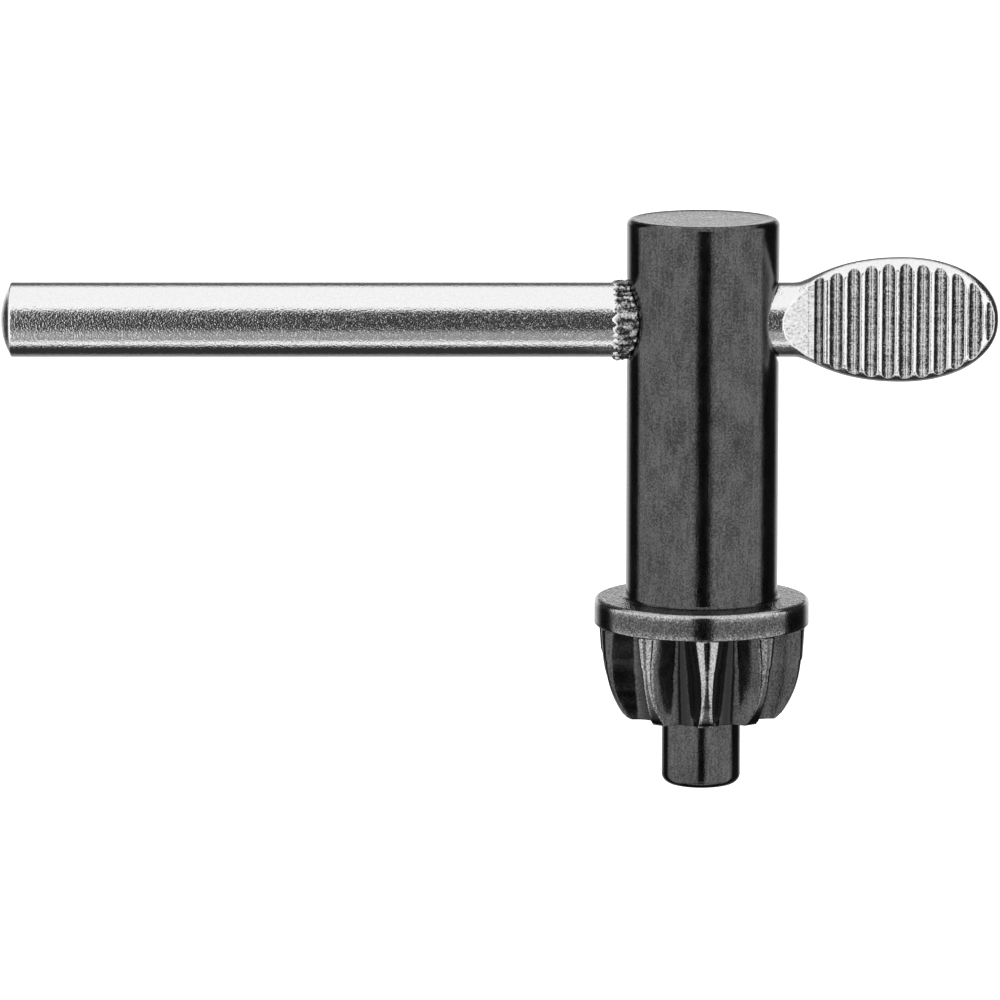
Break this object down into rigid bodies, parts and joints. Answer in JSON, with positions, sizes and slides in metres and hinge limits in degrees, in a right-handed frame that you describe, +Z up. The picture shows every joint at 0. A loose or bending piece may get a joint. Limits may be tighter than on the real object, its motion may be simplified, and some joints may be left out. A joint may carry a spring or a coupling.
{
  "type": "chuck key",
  "caption": "T-handle chuck key: blackened steel shank with flange, bevel pinion and pilot pin, and a press-fitted plated steel bar with a ribbed thumb paddle.",
  "frame": {"origin": "centre of the pilot pin's flat end face", "axes": "+Z up the key body's axis from the pilot to the top of the shank; +X along the handle towards its paddle; the paddle's faces look along -Y and +Y"},
  "size_m": [0.08, 0.0174, 0.046],
  "materials": {
    "blackened_steel": "black oxide over turned steel, satin, with faint lengthwise grain and bright worn tooth crests",
    "plated_steel": "bright zinc plate over drawn bar, glossy with a fine grainy texture, crushed knurl and coined grooves"
  },
  "bodies": {
    "root": {"key_body": "blackened_steel", "cross_handle": "plated_steel"}
  },
  "joints": []
}
